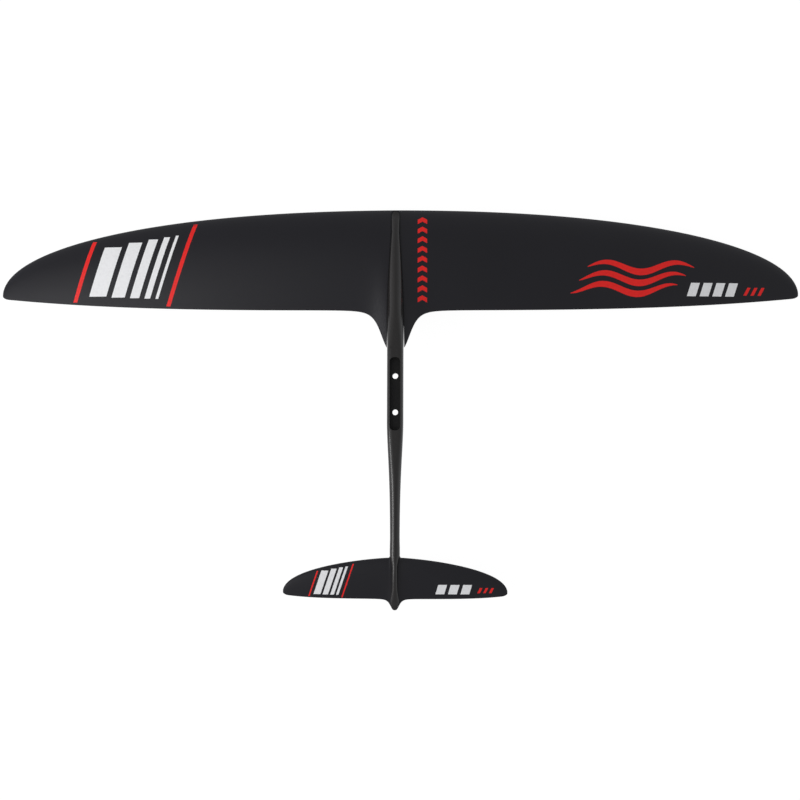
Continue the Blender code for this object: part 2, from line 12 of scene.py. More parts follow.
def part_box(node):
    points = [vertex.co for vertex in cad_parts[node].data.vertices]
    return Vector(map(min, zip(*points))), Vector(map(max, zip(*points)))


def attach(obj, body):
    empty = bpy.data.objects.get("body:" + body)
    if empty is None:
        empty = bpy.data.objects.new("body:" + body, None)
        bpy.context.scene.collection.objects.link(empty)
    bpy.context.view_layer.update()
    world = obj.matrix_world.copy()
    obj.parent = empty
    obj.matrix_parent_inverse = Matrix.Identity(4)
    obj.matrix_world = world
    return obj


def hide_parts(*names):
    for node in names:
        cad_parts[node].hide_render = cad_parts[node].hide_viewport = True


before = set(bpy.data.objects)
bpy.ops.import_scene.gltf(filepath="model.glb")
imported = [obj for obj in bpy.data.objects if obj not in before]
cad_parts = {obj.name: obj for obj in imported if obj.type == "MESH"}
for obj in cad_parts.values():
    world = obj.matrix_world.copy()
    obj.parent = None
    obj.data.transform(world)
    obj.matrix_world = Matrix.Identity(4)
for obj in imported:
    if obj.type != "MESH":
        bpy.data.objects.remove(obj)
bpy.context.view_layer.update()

# ---- sizes, from the frame where a node states them ----
GAP = 0.0003
SEAM = 0.00002                  # hairline between the moulded halves of a wing

wing_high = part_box("front_wing_upper_skin")[1]
stab_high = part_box("stabilizer_upper_skin")[1]
shell_low, shell_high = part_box("fuselage_upper_shell")
belly_low, belly_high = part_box("fuselage_lower_shell")
LOWEST_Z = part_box("front_wing_lower_skin")[0].z

NOSE_STEP_Y = belly_high.y + GAP
TAIL_STEP_Y = belly_low.y - GAP
NOSE_TIP_Y = shell_high.y
TAIL_TIP_Y = shell_low.y
BODY_HALF_WIDTH = belly_high.x
BODY_TOP = shell_high.z
BODY_BOTTOM = belly_low.z
SPLIT_Z = belly_high.z + GAP / 2
SIDE_LAND = 0.0015              # upright band on each shell beside the split
SIDE_RISE = 0.0008              # the tongues' sides stand this much above the wings
BOOM_HALF_WIDTH = 0.0077
BOOM_FLARE = 0.0005             # how much wider the boom gets towards the stabiliser
BOOM_FLARE_Y = -0.232
BOOM_FLARE_RUN = 0.030
BOOM_TOP = 0.005
BOOM_BOTTOM = -0.011
TAPER_START_Y = -0.0473
TAPER_LENGTH = 0.090
TAPER_POWER = 1.7
NECK_HALF_WIDTH = 0.0061        # the nose tongue's narrow front
NECK_Y = 0.268
NECK_END_Y = 0.120
NOSE_END_RUN = 0.011            # the nose tongue's rounded end
NOSE_END_Z = -0.007             # its crest at the tip
TAIL_END_RUN = 0.0165           # the tail tongue's rounded end
TAIL_END_Z = -0.0055
TAIL_HALF_WIDTH = 0.0050
TAIL_SHOULDER = 0.0030          # what the tail tongue loses over its first part
TAIL_SHOULDER_RUN = 0.020
TAIL_BULB = 0.0018              # what it gains again round the bulb
TAIL_BULB_Y = -0.340
TAIL_BULB_RUN = 0.014
WING_Z = -0.010
STAB_Z = -0.006
ROOT_ROUNDING = 0.012           # how gently the wing's slant starts at the centreline
NOSE_KEEL_RUN = 0.225
TAIL_KEEL_PAST_TIP = 0.002
KEEL_CURVE = 2.5
SHELL_WALL = 0.0025
TAIL_WALL = 0.0010
GAP_START_Y = 0.122             # where the clearance beside the fuselage opens
GROOVE_DEPTH = 0.0012
SOCKET_LENGTH = 0.120
SOCKET_WIDTH = 0.017
SOCKET_CORNER = 0.0068
SOCKET_ROUND_OVER = 0.0006
MAST_HOLE_RADIUS = 0.0048
BUSH_RADIUS = 0.0070
BUSH_FLANGE_HEIGHT = 0.003
INK_HEIGHT = 0.00006
ABOVE = 0.05                    # clear of everything, for the ends of cutters
BELOW = -0.06
SCREW_SIDES = 64
SHARP_DEGREES = 35


def clamp(value, low=0.0, high=1.0):
    return min(max(value, low), high)


def smooth(value):
    value = clamp(value)
    return value * value * (3 - 2 * value)


def dome(fraction, power):
    """Height of a superellipse, 1 on the centreline and 0 at its edge."""
    return max(0.0, 1.0 - abs(fraction) ** power) ** (1.0 / power)


# ---- the shape of the wings ----
def thickness_curve(s):
    return 10 * (0.2969 * math.sqrt(s) - 0.1260 * s - 0.3516 * s ** 2
                 + 0.2843 * s ** 3 - 0.1036 * s ** 4)


def camber_curve(s, peak=0.4):
    if s < peak:
        return (2 * peak * s - s * s) / peak ** 2
    return (1 - 2 * peak + 2 * peak * s - s * s) / (1 - peak) ** 2


class Foil:
    """A wing as height functions of x and y; its edges are rounded over, as moulded ones are."""

    edge = 0.0012               # thickness of the rounded edges
    closing = 0.0004            # how far past the tip the outline would close
    edge_reach = 0.55           # rounding length along the chord, in edges
    tip_reach = 1.2             # and along the span
    collar_run = 0.002
    thinning = 0.9              # how thickness follows the chord
    keel_power = 2.6
    least_keel = 0.001

    def __init__(self, **values):
        self.__dict__.update(values)

    def share(self, x):
        return clamp(abs(x) / (self.half_span + self.closing))

    def leading(self, x):
        rise = (1 - self.share(x) ** self.nose_powers[0]) ** (1 / self.nose_powers[1])
        ramp = clamp((self.collar_width - abs(x)) / self.collar_run) ** 2
        return self.tip_y + (self.nose_y - self.tip_y) * rise + self.collar * ramp

    def plain_trailing(self, x):
        start = self.half_span + self.closing - self.corner[0]
        turn = clamp((abs(x) - start) / self.corner[0])
        corner = self.corner[1] * (1 - math.sqrt(1 - turn * turn))
        return self.tail_y + self.sweep * self.share(x) ** self.tail_power + corner

    def trailing(self, x):
        spread = (abs(x) / self.fairing_width) ** self.fairing_power
        fairing = self.fairing_length / (1 + spread)
        return max(self.plain_trailing(x) - fairing, self.fairing_end)

    def chord_share(self, x):
        chord = self.leading(x) - self.plain_trailing(x)
        return chord / (self.nose_y - self.tail_y)

    def base(self, x):
        """The chord plane: a slight slant down from the root, then a bend to the tip."""
        run = math.hypot(x, ROOT_ROUNDING) - ROOT_ROUNDING
        slant = run / (self.half_span - ROOT_ROUNDING)
        bend = self.share(x) ** self.droop_power
        return self.z - self.droop * (self.slant * slant + (1 - self.slant) * bend)

    def along(self, x, y):
        return clamp((self.leading(x) - y) / (self.leading(x) - self.trailing(x)))

    def rounding(self, x, y):
        """0 on the outline, 1 away from it: what rounds the thin edges over."""
        chord = self.leading(x) - self.trailing(x)
        s = self.along(x, y)
        reach = clamp(min(s, 1 - s) * chord / (self.edge_reach * self.edge))
        tip = clamp((self.half_span - abs(x)) / (self.tip_reach * self.edge))
        inner = min(reach, tip)
        return math.sqrt(1 - (1 - inner) ** 2)

    def half(self, x, y):
        thickness = self.thickness * self.chord_share(x) ** self.thinning
        plate = thickness / 2 * thickness_curve(self.along(x, y))
        return (self.edge / 2 + plate) * self.rounding(x, y)

    def middle(self, x, y):
        camber = self.camber * self.chord_share(x) * camber_curve(self.along(x, y))
        return self.base(x) + camber

    def upper(self, x, y):
        return self.middle(x, y) + self.half(x, y)

    def lower(self, x, y):
        plate = max(self.base(x) - self.middle(x, y) + self.half(x, y), 0.0)
        keel_width = max(self.keel_width(y), self.least_keel)
        keel = self.keel_depth(y) * dome(x / keel_width, self.keel_power)
        return max(self.base(x) - (plate ** 4 + keel ** 4) ** 0.25, LOWEST_Z)

    def skin(self, x):
        return self.skin_tip + (self.skin_root - self.skin_tip) * self.chord_share(x)

    def upper_inside(self, x, y):
        inside = max(self.upper(x, y) - self.skin(x), self.middle(x, y) + SEAM / 2)
        return min(inside, self.upper(x, y) - SEAM / 2)

    def lower_inside(self, x, y):
        inside = min(self.lower(x, y) + self.skin(x), self.middle(x, y) - SEAM / 2)
        return max(inside, self.lower(x, y) + SEAM / 2)

    def plan(self, columns, shares):
        rows = []
        for x in columns:
            nose = self.leading(x)
            chord = nose - self.trailing(x)
            rows.append([(x, nose - share * chord) for share in shares])
        return rows


# ---- the shape of the fuselage ----
def taper(y):
    """1 at the mast, falling smoothly to 0 along the boom."""
    return math.exp(-(max(TAPER_START_Y - y, 0.0) / TAPER_LENGTH) ** TAPER_POWER)


def rounded_end(share):
    """Width share over a tongue's rounded end; share runs from 0 to nearly 1 at the tip."""
    return math.sqrt(1 - clamp(share) ** 2.2)


def body_half_width(y):
    if y > NECK_END_Y:
        spread = math.sin(math.pi / 2 * clamp((NECK_Y - y) / (NECK_Y - NECK_END_Y)))
        width = NECK_HALF_WIDTH + (BODY_HALF_WIDTH - NECK_HALF_WIDTH) * spread
        return width * rounded_end((y - NOSE_TIP_Y) / NOSE_END_RUN + 0.95)
    if y > TAIL_STEP_Y:
        flare = BOOM_FLARE * smooth((BOOM_FLARE_Y - y) / BOOM_FLARE_RUN)
        return BOOM_HALF_WIDTH + (BODY_HALF_WIDTH - BOOM_HALF_WIDTH) * taper(y) + flare
    turn = math.pi * clamp((TAIL_STEP_Y - y) / TAIL_SHOULDER_RUN)
    shoulder = TAIL_SHOULDER * (0.5 + 0.5 * math.cos(turn))
    bulb = TAIL_BULB * math.exp(-((y - TAIL_BULB_Y) / TAIL_BULB_RUN) ** 2)
    end = rounded_end((TAIL_TIP_Y - y) / TAIL_END_RUN + 0.98)
    return (TAIL_HALF_WIDTH + shoulder + bulb) * end


def body_power(y):
    """Section power: squarest at the mast, round along the boom and the nose."""
    if y > NOSE_STEP_Y:
        return 1.8 + 3.2 * clamp((0.160 - y) / 0.090) ** 2
    return 2.0 + 3.0 * taper(y) ** 2


def body_crest(y):
    if y > NOSE_STEP_Y:
        share = clamp((y - NOSE_STEP_Y) / (NOSE_TIP_Y - NOSE_STEP_Y))
        return NOSE_END_Z + (BODY_TOP - NOSE_END_Z) * math.sqrt(1 - share ** 3)
    if y > TAIL_STEP_Y:
        return BOOM_TOP + (BODY_TOP - BOOM_TOP) * taper(y)
    share = clamp((TAIL_STEP_Y - y) / (TAIL_STEP_Y - TAIL_TIP_Y))
    return TAIL_END_Z + (BOOM_TOP - TAIL_END_Z) * math.sqrt(1 - share ** 3)


def body_belly(y):
    return BOOM_BOTTOM + (BODY_BOTTOM - BOOM_BOTTOM) * taper(y)


def nose_keel_depth(y):
    share = clamp((y - NOSE_STEP_Y) / NOSE_KEEL_RUN)
    return (WING_Z - BODY_BOTTOM) * math.sqrt(1 - share ** KEEL_CURVE)


def tail_keel_depth(y):
    share = clamp((TAIL_STEP_Y - y) / (TAIL_STEP_Y - TAIL_TIP_Y + TAIL_KEEL_PAST_TIP))
    return (STAB_Z - BOOM_BOTTOM) * math.sqrt(1 - share ** KEEL_CURVE)


WING = Foil(half_span=wing_high.x, nose_y=wing_high.y, tail_y=0.1399,
            tip_y=0.1656, sweep=0.0241, nose_powers=(2.19, 2.20), tail_power=3.1,
            corner=(0.0112, 0.0057), thickness=0.019, camber=0.0036, z=WING_Z,
            droop=0.042, slant=0.35, droop_power=2.6, collar=0.0, collar_width=0.0,
            fairing_width=0.0262, fairing_length=0.0692, fairing_power=3.8,
            fairing_end=NOSE_STEP_Y + GAP, skin_root=0.0020,
            skin_tip=0.0008, keel_depth=nose_keel_depth, keel_width=body_half_width)
STAB = Foil(half_span=stab_high.x, nose_y=-0.2688, tail_y=-0.3367,
            tip_y=-0.3287, sweep=0.0057, nose_powers=(1.49, 2.31), tail_power=4.3,
            corner=(0.0096, 0.0050), thickness=0.0075, camber=0.0, z=STAB_Z,
            droop=0.004, slant=0.0, droop_power=2.0, collar=0.2688 + TAIL_STEP_Y - GAP,
            collar_width=0.0100, fairing_width=0.00813, fairing_length=0.0185,
            fairing_power=3.13, fairing_end=-1.0,
            skin_root=0.0011, skin_tip=0.0007, keel_depth=tail_keel_depth,
            keel_width=lambda y: BOOM_HALF_WIDTH)


def tongue_foil(y):
    if y > NOSE_STEP_Y:
        return WING
    if y < TAIL_STEP_Y:
        return STAB
    return None


def side_height(y):
    foil = tongue_foil(y)
    land = SPLIT_Z + SIDE_LAND
    if foil is None:
        return land
    return max(land, foil.upper(body_half_width(y), y) + GAP + SIDE_RISE)


def shell_top(x, y, inset=0.0):
    side = side_height(y)
    crest = max(body_crest(y) - inset, side + 0.0004)
    width = body_half_width(y) - inset
    return side + (crest - side) * dome(x / width, body_power(y))


def shell_bottom(x, y, inset=0.0):
    side = SPLIT_Z - SIDE_LAND
    width = body_half_width(y) - inset
    depth = side - body_belly(y) - inset
    return side - depth * dome(x / width, body_power(y))


def under_upper_shell(x, y):
    foil = tongue_foil(y)
    if foil is None:
        return SPLIT_Z + GAP / 2
    return foil.upper(x, y) + GAP / 2


# ---- materials ----
class Shade:
    """A Principled material with short calls for the nodes that give it its detail."""

    def __init__(self, name, **constants):
        self.material = bpy.data.materials.new(name)
        self.material.use_nodes = True
        self.tree = self.material.node_tree
        self.shader = self.tree.nodes["Principled BSDF"]
        for socket, value in constants.items():
            self.shader.inputs[socket.replace("_", " ")].default_value = value
        self.place = self.tree.nodes.new("ShaderNodeTexCoord").outputs["Object"]

    def feed(self, node, socket, value):
        if isinstance(value, bpy.types.NodeSocket):
            self.tree.links.new(value, node.inputs[socket])
        else:
            node.inputs[socket].default_value = value

    def stretched(self, scale, turn=0.0):
        node = self.tree.nodes.new("ShaderNodeMapping")
        self.feed(node, "Vector", self.place)
        node.inputs["Scale"].default_value = scale
        node.inputs["Rotation"].default_value = (0, 0, turn)
        return node.outputs["Vector"]

    def noise(self, scale, detail=2.0, vector=None, roughness=0.5):
        node = self.tree.nodes.new("ShaderNodeTexNoise")
        self.feed(node, "Vector", vector or self.place)
        node.inputs["Scale"].default_value = scale
        node.inputs["Detail"].default_value = detail
        node.inputs["Roughness"].default_value = roughness
        return node.outputs["Fac"]

    def wave(self, scale, vector, bands="X", kind="BANDS", distortion=0.0):
        node = self.tree.nodes.new("ShaderNodeTexWave")
        node.wave_type = kind
        if kind == "BANDS":
            node.bands_direction = bands
        else:
            node.rings_direction = bands
        self.feed(node, "Vector", vector)
        node.inputs["Scale"].default_value = scale
        node.inputs["Distortion"].default_value = distortion
        return node.outputs["Fac"]

    def voronoi(self, scale, vector=None, feature="F1"):
        node = self.tree.nodes.new("ShaderNodeTexVoronoi")
        node.feature = feature
        self.feed(node, "Vector", vector or self.place)
        node.inputs["Scale"].default_value = scale
        return node.outputs["Distance"]

    def math(self, operation, first, second=0.0, third=0.0):
        node = self.tree.nodes.new("ShaderNodeMath")
        node.operation = operation
        self.feed(node, 0, first)
        self.feed(node, 1, second)
        self.feed(node, 2, third)
        return node.outputs[0]

    def spread(self, value, low, high, start=0.0, end=1.0):
        """value from start..end brought to low..high, and held there."""
        node = self.tree.nodes.new("ShaderNodeMapRange")
        self.feed(node, "Value", value)
        for socket, number in (("From Min", start), ("From Max", end),
                               ("To Min", low), ("To Max", high)):
            node.inputs[socket].default_value = number
        return node.outputs["Result"]

    def mix(self, share, first, second):
        node = self.tree.nodes.new("ShaderNodeMix")
        node.data_type = "RGBA"
        self.feed(node, "Factor", share)
        for index, colour in ((6, first), (7, second)):
            if isinstance(colour, bpy.types.NodeSocket):
                self.tree.links.new(colour, node.inputs[index])
            else:
                node.inputs[index].default_value = (*colour, 1.0)
        return node.outputs[2]

    def split(self, vector):
        node = self.tree.nodes.new("ShaderNodeSeparateXYZ")
        self.feed(node, "Vector", vector)
        return node.outputs

    def bump(self, height, distance, strength=1.0, under=None):
        node = self.tree.nodes.new("ShaderNodeBump")
        node.inputs["Strength"].default_value = strength
        node.inputs["Distance"].default_value = distance
        self.feed(node, "Height", height)
        if under is not None:
            self.feed(node, "Normal", under)
        return node.outputs["Normal"]

    def set(self, socket, value):
        self.feed(self.shader, socket, value)
        return self


def twill(shade, tow):
    """A two-by-two twill in plan: 1 where the lengthwise tow is on top, else 0."""
    x, y = shade.split(shade.place)[:2]
    column = shade.math("FLOOR", shade.math("DIVIDE", x, tow))
    row = shade.math("FLOOR", shade.math("DIVIDE", y, tow))
    step = shade.math("FLOORED_MODULO", shade.math("ADD", column, row), 4.0)
    return shade.math("LESS_THAN", step, 2.0), x, y


def carbon(name, dark, light, roughness, tow, weave, specular, coat=0.0):
    """Moulded carbon: a broad tone, fibres along the span, a faint weave and a fine grain."""
    shade = Shade(name, Coat_Weight=coat, Coat_Roughness=0.09, IOR=1.5,
                  Specular_IOR_Level=specular)
    cloud = shade.noise(7, 4)
    fibre = shade.noise(1, 3, shade.stretched((14, 900, 900)), 0.6)
    grain = shade.noise(2400, 2)
    over, x, y = twill(shade, tow)
    tone = shade.math("ADD", shade.math("MULTIPLY", cloud, 0.55),
                      shade.math("MULTIPLY", fibre, 0.45))
    tone = shade.math("MULTIPLY_ADD", over, weave, tone)
    shade.set("Base Color", shade.mix(shade.spread(tone, 0, 1, 0.3, 0.75), dark, light))
    worn = shade.math("MULTIPLY_ADD", grain, 0.06, shade.spread(cloud, -0.04, 0.05))
    worn = shade.math("MULTIPLY_ADD", over, -0.5 * weave * 0.1, worn)
    shade.set("Roughness", shade.math("ADD", worn, roughness))
    waves = shade.math("MULTIPLY", shade.math("SINE", shade.math("MULTIPLY", x, math.pi / tow)),
                       shade.math("SINE", shade.math("MULTIPLY", y, math.pi / tow)))
    cloth = shade.bump(shade.math("MULTIPLY_ADD", waves, 0.5, over), 0.00002, weave)
    fine = shade.bump(fibre, 0.00003, 0.5, cloth)
    shade.set("Normal", shade.bump(grain, 0.00002, 0.6, fine))
    return shade.material


def laminate():
    """Solid carbon laminate, cut so that its plies show as thin bands."""
    shade = Shade("ply_laminate", IOR=1.5)
    plies = shade.wave(0.5 / 0.00028 / 10, shade.stretched((1, 1, 1)), "Z", distortion=0.4)
    grain = shade.noise(1500, 3)
    shade.set("Base Color", shade.mix(plies, (0.0045, 0.0040, 0.0040), (0.011, 0.010, 0.010)))
    shade.set("Roughness", shade.spread(grain, 0.45, 0.7))
    shade.set("Normal", shade.bump(plies, 0.00003, 0.4, shade.bump(grain, 0.00003, 0.5)))
    return shade.material


def metal(name, dark, light, roughness):
    """Machined metal with turning marks about its own axis."""
    shade = Shade(name, Metallic=1.0)
    rings = shade.wave(320, shade.place, "Z", "RINGS", 1.5)
    grain = shade.noise(900, 3)
    shade.set("Base Color", shade.mix(grain, dark, light))
    shade.set("Roughness", shade.math("MULTIPLY_ADD", rings, 0.08,
                                      shade.spread(grain, roughness - 0.06, roughness + 0.08)))
    shade.set("Normal", shade.bump(rings, 0.00001, 0.5))
    return shade.material


def core():
    """Light closed-cell core."""
    shade = Shade("cell_core", IOR=1.4)
    cells = shade.voronoi(900)
    tone = shade.noise(60, 3)
    shade.set("Base Color", shade.mix(tone, (0.55, 0.45, 0.29), (0.70, 0.60, 0.42)))
    shade.set("Roughness", shade.spread(cells, 0.95, 0.75))
    shade.set("Normal", shade.bump(cells, 0.0003, 0.6))
    return shade.material


def coating(name, thin, full, roughness):
    """Printed ink or a dyed skin: a little uneven, with the grain of the surface under it."""
    shade = Shade(name, IOR=1.45)
    cover = shade.noise(220, 4)
    grain = shade.noise(2400, 2)
    shade.set("Base Color", shade.mix(shade.spread(cover, 0, 1, 0.3, 0.55), thin, full))
    shade.set("Roughness", shade.spread(grain, roughness - 0.05, roughness + 0.08))
    shade.set("Normal", shade.bump(grain, 0.00002, 0.6))
    return shade.material


WING_CARBON = carbon("wing_carbon", (0.0032, 0.0028, 0.0058), (0.0047, 0.0041, 0.0082),
                     0.40, 0.0020, 0.10, specular=0.5)
BODY_CARBON = carbon("fuselage_carbon", (0.0072, 0.0058, 0.0055), (0.0110, 0.0090, 0.0084),
                     0.28, 0.0020, 0.22, specular=0.5, coat=0.5)
LAMINATE = laminate()
STEEL = metal("stainless_steel", (0.42, 0.42, 0.43), (0.62, 0.62, 0.63), 0.28)
BRASS = metal("brass", (0.55, 0.38, 0.16), (0.75, 0.55, 0.26), 0.32)
ALUMINIUM = metal("aluminium", (0.45, 0.46, 0.48), (0.62, 0.63, 0.65), 0.38)
BLACK_ALUMINIUM = coating("black_anodised", (0.0050, 0.0045, 0.0045), (0.0090, 0.0085, 0.0085),
                          0.52)
CORE = core()
WHITE_INK = coating("white_ink", (0.84, 0.84, 0.85), (0.89, 0.89, 0.90), 0.45)
RED_INK = coating("red_ink", (0.80, 0.011, 0.009), (0.87, 0.013, 0.010), 0.42)


# ---- mesh builders ----
def slab_into(bm, plan, top, bottom):
    """A closed solid between two height functions, over a grid of (x, y) plan points."""
    upper = [[bm.verts.new((x, y, top(x, y))) for x, y in row] for row in plan]
    lower = [[bm.verts.new((x, y, bottom(x, y))) for x, y in row] for row in plan]
    rows = len(plan)
    columns = len(plan[0])
    made = []
    for i in range(rows - 1):
        for j in range(columns - 1):
            quad = ((i, j), (i, j + 1), (i + 1, j + 1), (i + 1, j))
            made.append(bm.faces.new([upper[a][b] for a, b in quad]))
            made.append(bm.faces.new([lower[a][b] for a, b in reversed(quad)]))
    rim = [(0, j) for j in range(columns)]
    rim += [(i, columns - 1) for i in range(1, rows)]
    rim += [(rows - 1, j) for j in range(columns - 2, -1, -1)]
    rim += [(i, 0) for i in range(rows - 2, 0, -1)]
    for (a, b), (c, d) in zip(rim, rim[1:] + rim[:1]):
        made.append(bm.faces.new((upper[c][d], upper[a][b], lower[a][b], lower[c][d])))
    bmesh.ops.recalc_face_normals(bm, faces=made)


def mesh_object(name, bm, sharp=SHARP_DEGREES):
    mesh = bpy.data.meshes.new(name)
    bm.to_mesh(mesh)
    bm.free()
    mesh.shade_smooth()
    mesh.set_sharp_from_angle(angle=math.radians(sharp))
    obj = bpy.data.objects.new(name, mesh)
    bpy.context.scene.collection.objects.link(obj)
    return obj


def slab(name, plan, top, bottom):
    bm = bmesh.new()
    slab_into(bm, plan, top, bottom)
    return mesh_object(name, bm)


def carve(obj, cutters, sharp=SHARP_DEGREES):
    """Cuts the cutters out of obj for good, and removes them."""
    for cutter in cutters:
        modifier = obj.modifiers.new("carve", "BOOLEAN")
        modifier.operation = "DIFFERENCE"
        modifier.solver = "EXACT"
        modifier.object = cutter
    graph = bpy.context.evaluated_depsgraph_get()
    mesh = bpy.data.meshes.new_from_object(obj.evaluated_get(graph))
    obj.modifiers.clear()
    obj.data = mesh
    mesh.shade_smooth()
    mesh.set_sharp_from_angle(angle=math.radians(sharp))
    for cutter in cutters:
        bpy.data.objects.remove(cutter, do_unlink=True)


def ring_loft(name, rings):
    """A closed solid through rings of points, all with the same number of points."""
    bm = bmesh.new()
    loops = [[bm.verts.new(point) for point in ring] for ring in rings]
    count = len(rings[0])
    for low, high in zip(loops, loops[1:]):
        for a in range(count):
            b = (a + 1) % count
            bm.faces.new((low[a], low[b], high[b], high[a]))
    bm.faces.new(loops[-1])
    bm.faces.new(loops[0][::-1])
    bmesh.ops.recalc_face_normals(bm, faces=bm.faces[:])
    return mesh_object(name, bm)


def ring_points(radius, sides):
    """Plan points of a regular polygon with an edge across +X."""
    angles = [2 * math.pi * (step + 0.5) / sides for step in range(sides)]
    return [(radius * math.cos(a), radius * math.sin(a)) for a in angles]


def round_cutter(name, radius, z_range, y, lip=0.0, lip_z=None):
    """A round cutter whose lower mouth can open out over a small lip."""
    levels = [(z_range[1], 0.0), (z_range[0], 0.0)]
    if lip:
        levels = [(z_range[1], 0.0), (lip_z + lip, 0.0), (lip_z, lip), (z_range[0], lip)]
    rings = []
    for z, grow in levels:
        rings.append([(px, py + y, z) for px, py in ring_points(radius + grow, SCREW_SIDES)])
    return ring_loft(name, rings)


def turned(name, profile, y, material):
    """A piece turned about its own upright axis from closed (radius, z) points."""
    bm = bmesh.new()
    loops = []
    for radius, z in profile:
        if radius == 0:
            loops.append([bm.verts.new((0, 0, z))])
            continue
        angles = [2 * math.pi * step / SCREW_SIDES for step in range(SCREW_SIDES)]
        loops.append([bm.verts.new((radius * math.cos(a), radius * math.sin(a), z))
                      for a in angles])
    closed = profile[0][0] > 0
    followers = loops[1:] + loops[:1] if closed else loops[1:]
    for high, low in zip(loops, followers):
        for a in range(SCREW_SIDES):
            b = (a + 1) % SCREW_SIDES
            if len(high) == 1:
                bm.faces.new((high[0], low[a], low[b]))
            elif len(low) == 1:
                bm.faces.new((high[a], low[0], high[b]))
            else:
                bm.faces.new((high[a], low[a], low[b], high[b]))
    bmesh.ops.recalc_face_normals(bm, faces=bm.faces[:])
    obj = mesh_object(name, bm, 40)
    obj.location = (0, y, 0)
    obj.data.materials.append(material)
    return obj


def softened(profile, size, steps=3):
    """The profile with its corners off the axis rounded over."""
    points = []
    count = len(profile)
    for i, (radius, z) in enumerate(profile):
        if radius == 0:
            points.append((radius, z))
            continue
        here = Vector((radius, z))
        before = Vector(profile[i - 1])
        after = Vector(profile[(i + 1) % count])
        start = here + (before - here).normalized() * min(size, (before - here).length * 0.4)
        end = here + (after - here).normalized() * min(size, (after - here).length * 0.4)
        for step in range(steps + 1):
            t = step / steps
            bend = start.lerp(here, t).lerp(here.lerp(end, t), t)
            points.append((bend.x, bend.y))
    return points


def keep(obj, slot, material, *nodes):
    """Finishes a piece: its material, the body it rides on and the nodes it stands for."""
    if not obj.data.materials:
        obj.data.materials.append(material)
    obj.data.materials[0] = material
    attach(obj, "root")
    if nodes:
        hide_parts(*nodes)


# ---- wings ----
def chord_shares(count):
    """Close together at both edges, closest at the nose."""
    inner = [0.5 * (1 - math.cos(math.pi * (i / count) ** 1.25)) for i in range(count + 1)]
    extra = [0.0002, 0.0007, 0.0015, 0.003, 0.985, 0.993, 0.9965, 0.9985, 0.9995]
    return sorted(set(inner + extra))


def span_columns(foil, count, fine_width, fine_step):
    outer = [foil.half_span * math.sin(math.pi / 2 * i / count) for i in range(count + 1)]
    outer += [foil.half_span - foil.edge * k for k in (0.02, 0.1, 0.25, 0.5, 0.9)]
    fine = [fine_step * i for i in range(int(fine_width / fine_step) + 1)]
    starboard = sorted(set(fine + [x for x in outer if x > fine_width + fine_step / 2]))
    return [-x for x in reversed(starboard) if x > 0] + starboard


def screw_holes(label, ys, radius):
    """A cutter through the skins for each screw's ferrule."""
    return [round_cutter("%s_hole_%d" % (label, i), radius, (BELOW, ABOVE), y)
            for i, y in enumerate(ys)]


def node_centre_y(node):
    low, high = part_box(node)
    return (low.y + high.y) / 2


def node_radius(node):
    low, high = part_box(node)
    return (high.x - low.x) / 2


WING_SCREWS = ["front_wing_%d" % i for i in (1, 2, 3)]
STAB_SCREWS = ["stabilizer_%d" % i for i in (1, 2)]


def tongue_groove():
    """A shallow moulded groove round the nose tongue, where it sits on the wing."""
    count = 96
    start = GAP_START_Y - 0.004
    ys = [start + (NOSE_TIP_Y - start) * i / count for i in range(count + 1)]
    outline = [(body_half_width(y), y) for y in ys]
    outline += [(-x, y) for x, y in reversed(outline)]
    rows = []
    for i, (x, y) in enumerate(outline):
        before = outline[max(i - 1, 0)]
        after = outline[min(i + 1, len(outline) - 1)]
        out = Vector((after[1] - before[1], before[0] - after[0])).normalized()
        width = 0.0011 + 0.0012 * clamp((y - 0.215) / 0.050)
        rows.append([(x + out.x * reach, y + out.y * reach) for reach in (0.00005, width)])
    return slab("tongue_groove", rows, lambda x, y: ABOVE,
                lambda x, y: WING.upper(x, y) - GROOVE_DEPTH)


def side_gap(name, side):
    """The clearance between the fuselage and the wing's fairing, wider towards the tail."""
    count = 12
    end = NOSE_STEP_Y - 0.002
    rows = []
    for i in range(count + 1):
        y = GAP_START_Y + (end - GAP_START_Y) * i / count
        inner = body_half_width(y) + 0.0001
        outer = inner + 0.0001 + 0.0010 * i / count
        rows.append([(side * inner, y), (side * outer, y)])
    return slab(name, rows, lambda x, y: ABOVE, lambda x, y: BELOW)


def add_wing(label, node, foil, columns, shares, screws, grooved):
    plan = foil.plan(columns, shares)
    ys = [node_centre_y(name + "_ferrule") for name in screws]
    radius = node_radius(screws[0] + "_ferrule") + 0.0001
    top = slab(label + "_top_skin", plan, foil.upper, foil.upper_inside)
    under = slab(label + "_under_skin", plan, foil.lower_inside, foil.lower)
    for piece, side in ((top, "_top"), (under, "_under")):
        cutters = screw_holes(label + side, ys, radius)
        if grooved:
            cutters += [side_gap(label + side + "_gap_%d" % sign, sign) for sign in (1, -1)]
        if grooved and piece is top:
            cutters.append(tongue_groove())
        carve(piece, cutters)
    keep(top, "wing_carbon", WING_CARBON, node + "_upper_skin")
    keep(under, "wing_carbon", WING_CARBON, node + "_lower_skin")


add_wing("wing", "front_wing", WING, span_columns(WING, 70, 0.066, 0.0015),
         chord_shares(40), WING_SCREWS, True)
add_wing("tail_wing", "stabilizer", STAB, span_columns(STAB, 44, 0.024, 0.0010),
         chord_shares(28), STAB_SCREWS, False)


# ---- fuselage ----
WIDTH_SHARES = [math.sin(math.radians(angle)) for angle in range(-90, 91, 5)]


def stations(first, last, step, close=0.0):
    """From first back to last, with the ends drawn together where close is set."""
    count = max(2, round(abs(last - first) / step))
    ys = [first + (last - first) * i / count for i in range(count + 1)]
    if close:
        sign = 1 if last > first else -1
        ys += [first + sign * close * k * k for k in (0.15, 0.35, 0.6, 0.85)]
    return sorted(set(ys), reverse=True)


